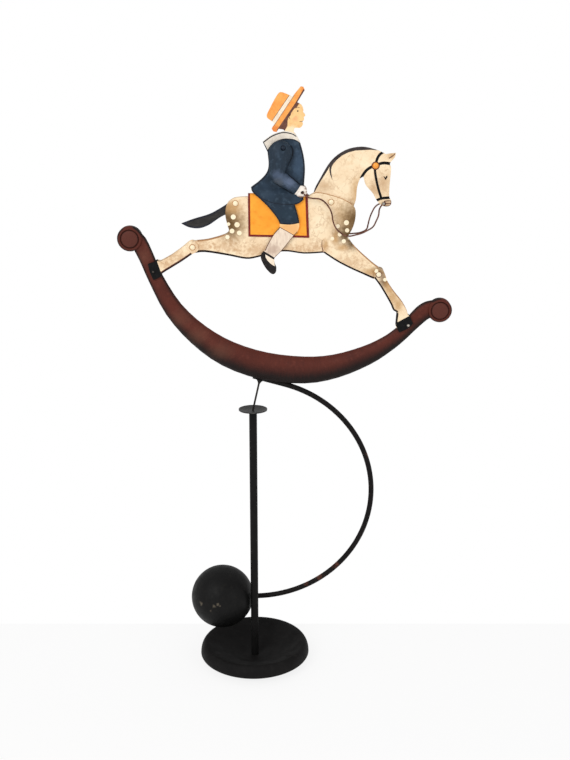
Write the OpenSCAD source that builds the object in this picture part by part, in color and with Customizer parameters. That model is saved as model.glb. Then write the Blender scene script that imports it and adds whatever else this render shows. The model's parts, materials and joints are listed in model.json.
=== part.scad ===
// Counterweight balancing toy: a rider on a rocking horse, poised by a pin on a dish.
// Origin: centre of the base's underside. +X is the way the horse heads, +Z is up, and
// -Y is the side that is seen. The figure is drawn in X and Z about the pin's point.

/* [Stand] */
// Diameter of the base at its widest
base_d = 96; // [80:1:120]
// Height of the base to the crest of its rim
base_h = 16.5; // [14:0.5:20]
// Height at which the base is widest
belly_h = 7; // [5:0.5:9]
// How far the crest of the rim lies inside the widest part
rim_in = 5; // [3:0.1:8]
// How far the flat underside lies inside the widest part
foot_in = 14; // [8:0.5:18]
// Thickness of the base's floor under the post
floor_t = 3.2; // [3:0.1:5]
// Diameter of the post
post_d = 6.6; // [5.8:0.1:8]
// Diameter of the screw that holds the post
screw_d = 3; // [2.5:0.1:3.6]
// Length of the screw
screw_l = 14; // [10:0.5:20]
// Diameter of the screw's countersunk head
head_d = 6; // [5:0.1:7]
// Height of the screw's countersunk head
head_h = 1.7; // [1.2:0.1:2.2]

/* [Bearing] */
// Diameter of the dish
dish_d = 24; // [18:0.5:30]
// Thickness of the dish
dish_t = 1; // [0.6:0.1:1.6]
// Rise of the dish from its floor to its rim
dish_rise = 1.4; // [0.6:0.1:3]
// Diameter of the dish's stem in the post
stem_d = 3; // [2:0.1:3.6]
// Length of the dish's stem
stem_l = 10; // [6:0.5:20]
// Diameter of the pin
pin_d = 1.6; // [1.2:0.1:2.4]
// Lean of the pin from upright, towards the horse's head
pin_lean = 12.5; // [6:0.5:18]
// Width of the braze cone at the pin's top
braze_d = 3.6; // [2.6:0.1:4]
// Height of the braze cone at the pin's top
braze_h = 3.5; // [2:0.1:6]

/* [Counterweight] */
// Diameter of the rod
rod_d = 4.4; // [3:0.1:5]
// Radius of the rod's large bend
rod_bend_r = 102; // [85:1:115]
// Length of the straight stretch under the rocker
rod_seat_l = 27; // [24:1:36]
// Slope of that stretch, down towards the horse's head
rod_slope = 15.5; // [12:0.5:18]
// Lean of the whole balance, which takes the rod and ball behind the post
lean = 4; // [3.5:0.1:5]
// Diameter of the ball
ball_d = 55; // [45:1:62]
// Diameter of the hollow inside the ball
ball_core_d = 29; // [20:0.5:36]
// How deep the rod goes into the ball
ball_socket = 7; // [4:0.5:8]
// Gap between the ball and the post at rest
ball_gap = 0.8; // [0.5:0.1:3]
// Gap between the ball and the level of the base's rim
base_gap = 9.6; // [4:0.1:14]

/* [Rocker] */
// Thickness of the rocker's pressed sheet
rocker_wall = 1.4; // [0.8:0.1:1.8]
// Depth of each half shell in the middle of the rocker
rocker_depth = 7; // [5:0.5:10]
// Diameter of the scroll at the tail end
scroll_tail_d = 20; // [17:0.5:22]
// Diameter of the scroll at the head end
scroll_head_d = 19.5; // [17:0.5:22]
// Thickness of each half of a scroll
scroll_t = 3.4; // [3:0.1:5]
// Diameter of the raised boss on a scroll
boss_d = 13.5; // [9:0.5:15]
// Height of the boss above the scroll
boss_h = 0.9; // [0.4:0.1:2]
// Width of the groove round the boss
boss_groove = 0.9; // [0.5:0.1:1.2]

/* [Sheet work] */
// Thickness of the horse's and the rider's sheet
sheet_t = 1.5; // [1:0.1:2]
// Thickness of the saddle cloth
cloth_t = 0.5; // [0.3:0.1:0.8]
// Length of the saddle cloth along the back
cloth_l = 46.5; // [38:0.5:48]
// Drop of the saddle cloth at each side
cloth_drop = 31; // [24:0.5:36]
// Height over which the rider's sheet steps out to straddle the horse
joggle_h = 4; // [3:0.1:6]
// Diameter of the rivets
rivet_d = 2.4; // [1.6:0.1:3]
// Diameter of the rivet heads
rivet_head_d = 4; // [3.4:0.1:4.6]
// Height of the rivet heads
rivet_head_h = 0.9; // [0.5:0.1:1.2]

/* [Arms and tack] */
// Depth of the half-round arm at the shoulder
arm_depth = 5; // [4:0.1:7]
// Diameter of the hand
hand_d = 9.2; // [8:0.2:11]
// Diameter of the hole in the hand
hand_hole_d = 2.4; // [1.8:0.1:3]
// Diameter of the shoulder spacers
spacer_d = 7; // [5:0.1:9]
// Diameter of the bridle's rosettes
rosette_d = 4.8; // [4:0.1:7]
// Height of the bridle's rosettes
rosette_h = 1.4; // [0.8:0.1:2]
// Diameter of the bit
bit_d = 2; // [1.6:0.1:2.6]
// How far the bit stands out at each side of the head
bit_reach = 3.4; // [2.5:0.1:4]
// Diameter of the reins
rein_d = 1.2; // [1:0.1:1.6]

/* [Hidden] */
$fn = 64;

// Clearance of a shaft or rivet in its hole, on the radius
fit = 0.05;
// Clearance between the pin's point and the dimple
tip_gap = 0.15;
// Height of the centre of the pin's point above the dish's floor
tip_height = 0.45;
// Clearance between the rider's seat and the fold of the saddle cloth
seat_gap = 0.2;
// How far a straight end of the rod runs into its bend
run_in = 1;
// How far the groove for the rod runs on below the rocker, past the straight seat
groove_run = 10;
// How much slimmer than the bend the rod's straight ends are
slim = 0.04;
// Width of the flat round the post's foot
post_flat = 0.8;
// How straight the base's lower flank is, from 0 for round to 1 for a cone
flank_cone = 0.75;
// The base's hollow from its rim to the post, as shares of its run and its rise
hollow_line = [[1, 1], [0.93, 0.96], [0.82, 0.84], [0.5, 0.44], [0.25, 0.15], [0.1, 0.03], [0, 0]];
// How far the screw's head lies above the underside of the base
head_sink = 0.4;
// Width and depth of the slot in the screw's head
slot_w = 0.8;
// How much wider the saddle cloth is at its hem, towards the head
cloth_flare = 1.5;
// How much lower the saddle cloth hangs towards the head
cloth_sag = 1;
// Overrun of a cutting shape past the face that it cuts
past = 1;
// Half extent of the slab that an outline is cut from
reach = 60;

// Layers of sheet, measured outwards from the middle plane of the figure
neck_face = sheet_t / 2;
body_face = neck_face + sheet_t;
shin_face = body_face + sheet_t;
cloth_face = body_face + cloth_t;
rider_face = cloth_face + sheet_t;
arm_spot_face = rider_face + 0.7 * arm_depth;

// Places in the figure, [x, z] about the pin's point
back_z = 178;
cloth_start_x = -2;
cloth_end_x = cloth_start_x + cloth_l;
neck_rivet_at = [63, 174];
tail_rivet_at = [-12, 173];
hock_at = [-46.5, 138.5];
knee_at = [102, 116.5];
hind_hoof_at = [-78.5, 119];
fore_hoof_at = [127, 74.5];
shoulder_at = [25.5, 216];
rosette_at = [97.2, 201.9];
bit_at = [104, 173];
hand_at = [39.5, 182.5];
hand_hole_at = [40.5, 182];
scroll_tail_at = [-96.2, 145];
scroll_head_at = [152.5, 86.5];
rod_seat_end = [26.5, 22.8];

// The rod's bend leaves its straight seat square to this radius
rod_turn = 90 - rod_slope;
rod_centre = rod_seat_end - rod_bend_r * [cos(rod_turn), sin(rod_turn)];
rod_low_z = rod_centre[1] - rod_bend_r;
// Length of the pin's axis from its point to the axis of the rod's seat
pin_l = (rod_seat_end[1] + rod_seat_end[0] * tan(rod_slope))
    / (cos(pin_lean) + sin(pin_lean) * tan(rod_slope));

// The ball hangs behind and beside the post, and the post is as high as it needs
ball_r = ball_d / 2;
ball_drop = -rod_low_z * cos(lean);
ball_y = -rod_low_z * sin(lean);
ball_swing_r = ball_r + post_d / 2 + ball_gap;
ball_x = -sqrt(pow(ball_swing_r, 2) - pow(ball_y, 2));
ball_z = base_h + base_gap + ball_r;
pivot_z = ball_z + ball_drop;
dish_floor_z = pivot_z - tip_height;
post_top_z = dish_floor_z - dish_t - fit;

// Rows of the rocker from tail to head: x, z, width across, depth of each half
rocker_rows = [
    [-94, 149, 8.5, body_face], [-89.5, 142.5, 13, body_face], [-83.5, 129, 12.5, body_face],
    [-77, 112.5, 12.5, body_face],
    [-63.5, 87, 15.5, 0.6 * rocker_depth], [-44, 65.6, 19, 0.8 * rocker_depth],
    [-20, 49.1, 22.5, 0.95 * rocker_depth], [10, 38.6, 24, rocker_depth],
    [43, 35.1, 23.5, rocker_depth], [69, 38.6, 20.5, 0.92 * rocker_depth],
    [94, 47.8, 17, 0.72 * rocker_depth], [110.7, 57.6, 14, 0.45 * rocker_depth],
    [121, 65.9, 12.8, body_face], [129, 73.9, 12.5, body_face],
    [138.5, 83.8, 14, body_face], [145, 87.6, 14, body_face], [150.9, 90.6, 9.6, body_face]];

// Routes of the reins from hand to bit, as they hang
rein_front_route = [
    [40.5, -6, 182], [44.5, -6.6, 178.5], [49, -6.6, 177.5], [54, -6.4, 177],
    [58, -6.2, 174.5], [61.5, -6, 170], [63.5, -6, 165.5], [64.5, -6, 160],
    [66.5, -6, 155], [70, -6, 151], [76, -6, 148], [83, -6, 149], [88, -6, 150.5],
    [92, -5.6, 152.5], [96, -5, 155], [98.5, -4.5, 159.5], [100.3, -4, 164],
    [101, -3.6, 169], [103.5, -3.2, 173]];
rein_back_route = [
    [40.5, 6, 182], [44.5, 6.6, 178.5], [49, 6.6, 177.5], [54, 6.4, 177],
    [58, 6.2, 174.5], [61.5, 6, 170], [63.5, 6, 165.5], [64.5, 6, 160],
    [66.5, 6, 155], [70, 6, 151], [76, 6, 148], [82, 6, 148], [88, 6, 149],
    [92, 5.8, 151.5], [93, 5.4, 155], [93.8, 5, 159], [95.8, 4.4, 165],
    [98.7, 3.8, 170], [103.5, 3.2, 173]];

// Curves

// One point of a smooth curve between b and c
function curve_point(a, b, c, d, t) =
    0.5 * (2 * b + (c - a) * t + (2 * a - 5 * b + 4 * c - d) * t * t
        + (3 * b - a - 3 * c + d) * t * t * t);

// A smooth curve through points, n steps to a stretch, without its last point
function curve(p, n = 4) = [
    for (i = [0 : len(p) - 2])
        for (k = [0 : n - 1])
            curve_point(p[max(i - 1, 0)], p[i], p[i + 1], p[min(i + 2, len(p) - 1)], k / n)];

// The same curve with its last point
function whole_curve(p, n = 4) = concat(curve(p, n), [p[len(p) - 1]]);

function unit(v) = v / norm(v);

// Direction along a list of points at entry i
function heading(p, i) = unit(p[min(i + 1, len(p) - 1)] - p[max(i - 1, 0)]);

// Outlines of the cut sheet, in x and z

module body_outline() {
    polygon(concat(
        // Level back under the saddle, then croup and rump
        [[cloth_end_x, back_z]],
        curve([[cloth_start_x - 2, back_z], [-13, 177], [-18.5, 172.5], [-20, 164], [-18.5, 156],
            [-17.5, 151.5], [-21, 148.3], [-34, 144.5], [-45, 143.2], [-50.2, 141.5],
            [-51.2, 137.5], [-47.5, 133.7], [-37, 134.5], [-19, 131.8], [-4, 129],
            [6, 130.5], [25, 135], [42, 133.2], [57.5, 134]]),
        // Upper foreleg to the knee
        curve([[57.5, 134], [69, 126.5], [80, 120.8], [90, 116.3], [98, 112.8],
            [104, 111.8], [107, 116], [104.5, 120], [96.7, 125.7], [83, 138], [76.5, 146.5]]),
        // Chest and withers
        curve([[76.5, 146.5], [80.8, 155], [82.5, 164], [81, 170.5], [73, 176],
            [60, 180.2], [51, 181.4], [cloth_end_x, back_z]])));
}

module neck_outline() {
    polygon(concat(
        // Crest and poll
        curve([[50, 172], [49.5, 182], [54.3, 192], [62.7, 205.6], [73.4, 213.6], [86, 216.3],
            [97.5, 214], [105.2, 210.6]]),
        // Ear
        curve([[105.2, 210.6], [108.6, 211.2], [112.6, 211.6]]),
        curve([[112.6, 211.6], [111.8, 208.2], [108.8, 204.6], [108.2, 202.8]]),
        // Face, muzzle and jaw
        curve([[108.2, 202.8], [109.3, 199.6], [108.6, 188], [108.5, 178.5], [110.1, 175],
            [110, 171.8], [107.2, 170.4], [102.8, 171.2], [98.6, 175.5], [95.4, 181],
            [90, 187], [88, 193.6]]),
        // Throat, and the front of the neck down between the body's sheets
        curve([[88, 193.6], [85.2, 191.5], [83.2, 185], [82.5, 176], [80, 168]]),
        curve([[80, 168], [68, 161], [55, 163], [50, 172]])));
}

module tail_outline() {
    polygon(concat(
        curve([[-17, 173.5], [-24, 169], [-33, 164.3], [-45, 160.7], [-55, 157]]),
        curve([[-55, 157], [-49, 154], [-41, 153.2], [-33, 156], [-24, 162], [-15.5, 166]]),
        curve([[-15.5, 166], [-7, 169], [-8, 175], [-17, 173.5]])));
}

module hind_shin_outline() {
    polygon(concat(
        // Hock
        curve([[-47, 133], [-42.2, 136], [-43, 141.5], [-48, 143.2], [-55.5, 137.6],
            [-65, 131], [-74.5, 126]]),
        // Hoof on the rocker
        [[-75.5, 127.5], [-82.5, 125]],
        curve([[-82.5, 125], [-81, 118], [-78.5, 112]]),
        [[-78.5, 112]],
        curve([[-72, 115], [-71.8, 117], [-63, 122.6], [-55, 127.5], [-47, 133]])));
}

module fore_shin_outline() {
    polygon(concat(
        // Knee
        curve([[98.2, 114], [99, 120.5], [104.5, 121], [107.2, 116], [109.2, 110.5],
            [114.8, 102], [121, 94.4], [125, 88], [127, 82]]),
        // Hoof on the rocker
        [[128, 82], [131, 76]],
        curve([[131, 76], [127, 71.8], [120, 68.5]]),
        [[120, 68.5]],
        curve([[117.3, 73], [117.7, 80.5]]),
        curve([[117.7, 80.5], [117.6, 85], [114.3, 87.5], [112, 92.5], [104, 106], [98.2, 114]])));
}

module rider_outline() {
    polygon(concat(
        // Brim of the tilted straw hat, then a plain profile of a child's face
        [[38.8, 261], [40.8, 260.7], [41.9, 258.4], [36.2, 249.4]],
        curve([[36.2, 249.4], [39.5, 247.4], [40.9, 244.2], [40.6, 242.4]]),
        curve([[40.6, 242.4], [42.4, 239.9], [41.2, 238.6]]),
        curve([[41.2, 238.6], [41.4, 236.4], [40.2, 235.2], [40.6, 233], [38.4, 230.6],
            [34.4, 230.4], [33.6, 227.4]]),
        // Collar and the front of the jacket
        curve([[33.6, 227.4], [36, 224.5], [38.3, 220.5]]),
        curve([[38.3, 220.5], [41.2, 210], [42.4, 200], [41.8, 188], [41.2, 176]]),
        // Hem, thigh, knee and shin
        curve([[41.2, 176], [38, 173.5], [34.5, 172.2]]),
        curve([[34.5, 172.2], [37, 164], [38.2, 156], [36.6, 151], [33.5, 147.5],
            [24.5, 136.3], [18.5, 130.2]]),
        // Shoe
        curve([[18.5, 130.2], [18.4, 125], [20, 120.5], [18.6, 117.4], [15.6, 117.6],
            [11, 122.7], [7.8, 129.5], [8.2, 133.6], [11, 136]]),
        // Calf, the underside of the thigh and the tail of the jacket
        curve([[11, 136], [13.8, 142], [18, 149], [22.8, 154.5]]),
        curve([[22.8, 154.5], [21.8, 160], [14.5, 169.7], [7.3, 176.9], [1.6, 182],
            [0.4, 185.4]]),
        curve([[0.4, 185.4], [7.5, 190.8], [12.6, 196.5], [14.2, 203], [13.4, 212.5]]),
        // Sailor collar, nape and hair
        [[13.4, 212.5], [9.8, 220]],
        curve([[9.8, 220], [17, 225.2], [26.5, 228]]),
        curve([[26.5, 228], [25.6, 229.2], [22, 229.8]]),
        // Lower end of the brim, band and crown
        [[22, 229.8], [20.4, 227.4], [18, 227.8], [16.7, 229.8], [18.8, 233.8], [16.5, 235.7]],
        curve([[16.5, 235.7], [12.9, 239], [15.4, 245], [20.2, 253.6], [23.5, 256.8],
            [29.4, 255]]),
        [[29.4, 255], [32.4, 253.4]]));
}

// Building blocks

// Lifts the balance on to the pin's point and leans it
module at_pivot() {
    translate([0, 0, pivot_z])
        rotate([lean, 0, 0])
            children();
}

// Sheet between two depths, cut to an outline given in x and z
module sheet(near, far) {
    translate([0, far, 0])
        rotate([90, 0, 0])
            linear_extrude(far - near)
                children();
}

// Bar along Y between two depths, at a place in x and z
module cross_bar(at, d, near, far) {
    translate([at[0], far, at[1]])
        rotate([90, 0, 0])
            cylinder(d = d, h = far - near);
}

// Round rivet head on the face at a depth, pointing to the viewer
module rivet_head(at, face, d, h) {
    cap_r = (d * d / 4 + h * h) / (2 * h);
    translate([at[0], -face, at[1]])
        intersection() {
            translate([0, cap_r - h, 0])
                sphere(r = cap_r);
            translate([-d, -h - past, -d])
                cube([2 * d, h + past, 2 * d]);
        }
}

// Rivet through layers that end at the same face on both sides
module rivet(at, face, d = rivet_d, head_d = rivet_head_d, head_h = rivet_head_h) {
    cross_bar(at, d, -face, face);
    rivet_head(at, face, head_d, head_h);
    mirror([0, 1, 0])
        rivet_head(at, face, head_d, head_h);
}

// Holes right through the figure
module holes(places, d = rivet_d) {
    for (at = places)
        cross_bar(at, d + 2 * fit, -reach, reach);
}

// Half of a hollow tube of oval section along rows of x, z, width and depth
module half_tube(rows, wall, sides) {
    side_n = sides + 1;
    ring_n = 2 * side_n;
    middle = [for (r = rows) [r[0], r[1]]];
    points = [
        for (i = [0 : len(rows) - 1])
            let (along = heading(middle, i), across = [-along[1], along[0]])
            for (k = [0 : ring_n - 1])
                let (inner = k >= side_n,
                    turn = 180 * (inner ? ring_n - 1 - k : k) / sides,
                    half_w = rows[i][2] / 2 - (inner ? wall : 0),
                    depth = rows[i][3] - (inner ? wall : 0),
                    at = middle[i] + across * half_w * cos(turn))
                [at[0], -depth * sin(turn), at[1]]];
    skin = [
        for (i = [0 : len(rows) - 2])
            for (k = [0 : ring_n - 1])
                let (a = i * ring_n + k, b = i * ring_n + (k + 1) % ring_n)
                each [[a, b + ring_n, b], [a, a + ring_n, b + ring_n]]];
    last = (len(rows) - 1) * ring_n;
    ends = [
        [for (k = [0 : ring_n - 1]) k],
        [for (k = [ring_n - 1 : -1 : 0]) last + k]];
    polyhedron(points, concat(skin, ends), convexity = 8);
}

// Solid tube of 8 sides along a route
module cord_tube(route, d) {
    sides = 8;
    points = [
        for (i = [0 : len(route) - 1])
            let (along = heading(route, i),
                up = unit(cross(along, [0, 1, 0])),
                out = cross(up, along))
            for (k = [0 : sides - 1])
                route[i] + d / 2 * (cos(360 * k / sides) * up + sin(360 * k / sides) * out)];
    skin = [
        for (i = [0 : len(route) - 2])
            for (k = [0 : sides - 1])
                let (a = i * sides + k, b = i * sides + (k + 1) % sides)
                each [[a, b, b + sides], [a, b + sides, a + sides]]];
    last = (len(route) - 1) * sides;
    ends = [
        [for (k = [sides - 1 : -1 : 0]) k],
        [for (k = [0 : sides - 1]) last + k]];
    polyhedron(points, concat(skin, ends), convexity = 8);
}

// The rod's straight seat under the rocker, which runs a little way into the bend
module rod_seat(d, run = run_in) {
    translate([rod_seat_end[0], 0, rod_seat_end[1]])
        rotate([0, rod_slope - 90, 0])
            translate([0, 0, -run])
                cylinder(d = d - slim, h = rod_seat_l + run);
}

// The rod's large bend
module rod_bend(d) {
    translate([rod_centre[0], 0, rod_centre[1]])
        rotate([90, 0, 0])
            rotate([0, 0, -90])
                rotate_extrude(angle = 90 + rod_turn, $fn = 128)
                    translate([rod_bend_r, 0])
                        circle(d = d);
}

// The rod's straight end, which goes from the bend into the ball
module rod_tail(d) {
    end_x = ball_x + ball_r - ball_socket;
    translate([end_x, 0, rod_low_z])
        rotate([0, 90, 0])
            cylinder(d = d - slim, h = rod_centre[0] - end_x + run_in);
}

// Stand

// Countersunk screw up through the base, larger all round by a clearance
module screw(gap) {
    translate([0, 0, head_sink]) {
        cylinder(d1 = head_d + 2 * gap, d2 = screw_d + 2 * gap, h = head_h);
        cylinder(d = screw_d + 2 * gap, h = screw_l);
    }
}

// Shallow dish, solid below its hollow
module base() {
    base_r = base_d / 2;
    rim_r = base_r - rim_in;
    flat_r = post_d / 2 + post_flat;
    flank = [
        for (a = [0 : 10 : 90])
            [base_r - foot_in + foot_in * sin(a),
                belly_h * (flank_cone * sin(a) + (1 - flank_cone) * (1 - cos(a)))]];
    shoulder = [
        for (a = [10 : 10 : 80])
            [rim_r + rim_in * cos(a), belly_h + (base_h - belly_h) * sin(a)]];
    hollow = [
        for (share = whole_curve(hollow_line))
            [flat_r + (rim_r - flat_r) * share[0], floor_t + (base_h - floor_t) * share[1]]];
    color("#1c1a1a")
        difference() {
            rotate_extrude($fn = 128)
                polygon(concat([[0, 0]], flank, shoulder, hollow, [[0, floor_t]]));
            screw(fit);
            translate([0, 0, -past])
                cylinder(d = head_d + 2 * fit, h = head_sink + past);
        }
}

module post() {
    color("#1c1a1a")
        difference() {
            translate([0, 0, floor_t])
                cylinder(d = post_d, h = post_top_z - floor_t);
            translate([0, 0, past])
                screw(fit);
            translate([0, 0, post_top_z - stem_l - past])
                cylinder(d = stem_d + 2 * fit, h = stem_l + 2 * past);
        }
}

module post_screw() {
    color("#6a6a6a")
        difference() {
            screw(0);
            // Slot for the driver
            translate([-head_d, -slot_w / 2, head_sink - past])
                cube([2 * head_d, slot_w, past + slot_w]);
        }
}

// Bearing

module pivot_dish() {
    // The upper face rises slowly from a flat floor to the rim
    floor_r = 0.25 * dish_d / 2;
    slope = [
        for (k = [0 : 8])
            [floor_r + (dish_d / 2 - floor_r) * k / 8, dish_rise * pow(k / 8, 2)]];
    under = [for (k = [8 : -1 : 0]) [slope[k][0], slope[k][1] - dish_t]];
    color("#1c1a1a")
        difference() {
            union() {
                translate([0, 0, dish_floor_z])
                    rotate_extrude($fn = 96)
                        polygon(concat([[0, 0]], slope, under, [[0, -dish_t]]));
                translate([0, 0, post_top_z + fit - stem_l])
                    cylinder(d = stem_d, h = stem_l + dish_t / 2);
            }
            translate([0, 0, pivot_z])
                sphere(r = pin_d / 2 + tip_gap);
        }
}

// Balance

module pivot_pin() {
    color("#3a3634")
        at_pivot()
            difference() {
                rotate([0, pin_lean, 0]) {
                    sphere(d = pin_d);
                    cylinder(d = pin_d, h = pin_l);
                    translate([0, 0, pin_l - rod_d / 2 - braze_h])
                        cylinder(d1 = pin_d, d2 = braze_d, h = braze_h + rod_d / 2);
                }
                rod_seat(rod_d);
                // Nothing is left above the rod
                translate([rod_seat_end[0], 0, rod_seat_end[1]])
                    rotate([0, rod_slope, 0])
                        translate([-rod_seat_l, -reach, 0])
                            cube([2 * rod_seat_l, 2 * reach, reach]);
            }
}

module counterweight_rod() {
    color("#2a2523")
        at_pivot() {
            rod_seat(rod_d);
            rod_bend(rod_d);
            rod_tail(rod_d);
        }
}

module counterweight_ball() {
    color("#1c1a1a")
        difference() {
            translate([ball_x, ball_y, ball_z]) {
                difference() {
                    sphere(d = ball_d, $fn = 96);
                    sphere(d = ball_core_d);
                }
            }
            at_pivot()
                rod_tail(rod_d + 2 * fit);
        }
}

// Half a scroll: a round-edged disc with a groove round a low boss
module scroll(at, d) {
    edge = 1;
    boss_r = boss_d / 2;
    translate([at[0], 0, at[1]])
        rotate([90, 0, 0])
            rotate_extrude($fn = 64)
                polygon([[0, 0], [d / 2, 0], [d / 2, scroll_t - edge],
                    [d / 2 - edge, scroll_t], [boss_r + boss_groove, scroll_t],
                    [boss_r + boss_groove / 2, scroll_t - boss_groove], [boss_r, scroll_t],
                    [boss_r - boss_h, scroll_t + boss_h / 2], [boss_r / 2, scroll_t + boss_h],
                    [0, scroll_t + boss_h]]);
}

module rocker_half() {
    difference() {
        union() {
            half_tube(whole_curve(rocker_rows, 3), rocker_wall, 8);
            scroll(scroll_tail_at, scroll_tail_d);
            scroll(scroll_head_at, scroll_head_d);
        }
        holes([hind_hoof_at, fore_hoof_at]);
    }
}

module rocker_front_half() {
    color("#64322a")
        at_pivot()
            difference() {
                rocker_half();
                rod_seat(rod_d + 2 * fit, groove_run);
            }
}

module rocker_back_half() {
    color("#64322a")
        at_pivot()
            difference() {
                mirror([0, 1, 0])
                    rocker_half();
                rod_seat(rod_d + 2 * fit, groove_run);
            }
}

// Horse

module body_plate() {
    difference() {
        sheet(-body_face, -neck_face)
            body_outline();
        holes([neck_rivet_at, tail_rivet_at, hock_at, knee_at]);
    }
}

module horse_body_front() {
    color("#ebcda0")
        at_pivot()
            body_plate();
}

module horse_body_back() {
    color("#ebcda0")
        at_pivot()
            mirror([0, 1, 0])
                body_plate();
}

module horse_neck() {
    color("#ebcda0")
        at_pivot()
            difference() {
                sheet(-neck_face, neck_face)
                    neck_outline();
                holes([neck_rivet_at, rosette_at]);
                holes([bit_at], bit_d);
            }
}

module horse_tail() {
    color("#35322f")
        at_pivot()
            difference() {
                sheet(-neck_face, neck_face)
                    tail_outline();
                holes([tail_rivet_at]);
            }
}

module hind_shin() {
    difference() {
        sheet(-shin_face, -body_face)
            hind_shin_outline();
        holes([hock_at, hind_hoof_at]);
    }
}

module hind_shin_front() {
    color("#ebcda0")
        at_pivot()
            hind_shin();
}

module hind_shin_back() {
    color("#ebcda0")
        at_pivot()
            mirror([0, 1, 0])
                hind_shin();
}

module fore_shin() {
    difference() {
        sheet(-shin_face, -body_face)
            fore_shin_outline();
        holes([knee_at, fore_hoof_at]);
    }
}

module fore_shin_front() {
    color("#ebcda0")
        at_pivot()
            fore_shin();
}

module fore_shin_back() {
    color("#ebcda0")
        at_pivot()
            mirror([0, 1, 0])
                fore_shin();
}

module neck_rivet() {
    color("#9a8a70")
        at_pivot()
            rivet(neck_rivet_at, body_face);
}

module tail_rivet() {
    color("#9a8a70")
        at_pivot()
            rivet(tail_rivet_at, body_face);
}

module hock_rivet() {
    color("#9a8a70")
        at_pivot()
            rivet(hock_at, shin_face);
}

module knee_rivet() {
    color("#9a8a70")
        at_pivot()
            rivet(knee_at, shin_face);
}

module hoof_rivets() {
    color("#2a2725")
        at_pivot()
            for (at = [hind_hoof_at, fore_hoof_at])
                rivet(at, shin_face);
}

module saddle_cloth() {
    leg = cloth_drop + cloth_sag;
    color("#f0a030")
        at_pivot()
            intersection() {
                translate([cloth_start_x, 0, back_z])
                    rotate([90, 0, 90])
                        linear_extrude(cloth_l + cloth_flare)
                            difference() {
                                union() {
                                    circle(r = cloth_face, $fn = 48);
                                    translate([-cloth_face, -leg])
                                        square([2 * cloth_face, leg]);
                                }
                                circle(r = body_face, $fn = 48);
                                translate([-body_face, -leg - past])
                                    square([2 * body_face, leg + past]);
                            }
                sheet(-reach, reach)
                    polygon([[cloth_start_x - past, back_z + reach],
                        [cloth_start_x - past, back_z - cloth_drop],
                        [cloth_end_x + cloth_flare, back_z - leg],
                        [cloth_end_x, back_z + cloth_face], [cloth_end_x, back_z + reach]]);
            }
}

// Rider

// Section of the rider's sheet: apart beside the horse, together above it
module joggle_section() {
    low = 100;
    high = 280;
    step_z = back_z + cloth_face + seat_gap;
    polygon([[-cloth_face, low], [-cloth_face, step_z], [0, step_z + joggle_h], [0, high],
        [-sheet_t, high], [-sheet_t, step_z + joggle_h], [-rider_face, step_z],
        [-rider_face, low]]);
}

module rider_half() {
    difference() {
        intersection() {
            sheet(-reach, reach)
                rider_outline();
            translate([-reach, 0, 0])
                rotate([90, 0, 90])
                    linear_extrude(2 * reach)
                        joggle_section();
        }
        holes([shoulder_at]);
    }
}

module rider_front() {
    color("#23374b")
        at_pivot()
            rider_half();
}

module rider_back() {
    color("#23374b")
        at_pivot()
            mirror([0, 1, 0])
                rider_half();
}

// Flattened ball whose middle lies on the arm's inner face
module dome(at, r, depth) {
    translate([at[0], -rider_face, at[1]])
        scale([1, depth / r, 1])
            sphere(r = r, $fn = 32);
}

module arm() {
    elbow_depth = 0.9 * arm_depth;
    wrist_depth = 0.75 * arm_depth;
    difference() {
        union() {
            hull() {
                dome([23.5, 212.5], 9, arm_depth);
                dome([20.3, 196], 5.9, elbow_depth);
            }
            hull() {
                dome([20.8, 195], 5.8, elbow_depth);
                dome([35.8, 184.2], 4.1, wrist_depth);
            }
            dome(hand_at, hand_d / 2, wrist_depth * 0.8);
        }
        sheet(-rider_face, reach)
            translate([-reach, 0])
                square(5 * reach);
        holes([shoulder_at]);
        holes([hand_hole_at], hand_hole_d);
        cross_bar(shoulder_at, rivet_head_d + 2 * fit, -reach, -arm_spot_face);
    }
}

module arm_front() {
    color("#23374b")
        at_pivot()
            arm();
}

module arm_back() {
    color("#23374b")
        at_pivot()
            mirror([0, 1, 0])
                arm();
}

module shoulder_spacers() {
    color("#9a8a70")
        at_pivot()
            for (side = [0, 1])
                mirror([0, side, 0])
                    difference() {
                        cross_bar(shoulder_at, spacer_d, -rider_face, -sheet_t);
                        holes([shoulder_at]);
                    }
}

module shoulder_rivet() {
    color("#9a8a70")
        at_pivot()
            rivet(shoulder_at, arm_spot_face);
}

// Tack

module bridle_rosette() {
    color("#f0a030")
        at_pivot()
            rivet(rosette_at, neck_face, rivet_d, rosette_d, rosette_h);
}

module bit() {
    color("#8a8378")
        at_pivot()
            cross_bar(bit_at, bit_d, -neck_face - bit_reach, neck_face + bit_reach);
}

module rein_front() {
    color("#643c32")
        at_pivot()
            cord_tube(whole_curve(rein_front_route, 2), rein_d);
}

module rein_back() {
    color("#643c32")
        at_pivot()
            cord_tube(whole_curve(rein_back_route, 2), rein_d);
}

base();
post();
post_screw();
pivot_dish();
pivot_pin();
counterweight_rod();
counterweight_ball();
rocker_front_half();
rocker_back_half();
horse_body_front();
horse_body_back();
horse_neck();
horse_tail();
hind_shin_front();
hind_shin_back();
fore_shin_front();
fore_shin_back();
neck_rivet();
tail_rivet();
hock_rivet();
knee_rivet();
hoof_rivets();
saddle_cloth();
rider_front();
rider_back();
arm_front();
arm_back();
shoulder_spacers();
shoulder_rivet();
bridle_rosette();
bit();
rein_front();
rein_back();
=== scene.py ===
import json
import math

import bmesh
import bpy
from mathutils import Matrix, Vector
from mathutils.geometry import delaunay_2d_cdt


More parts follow.
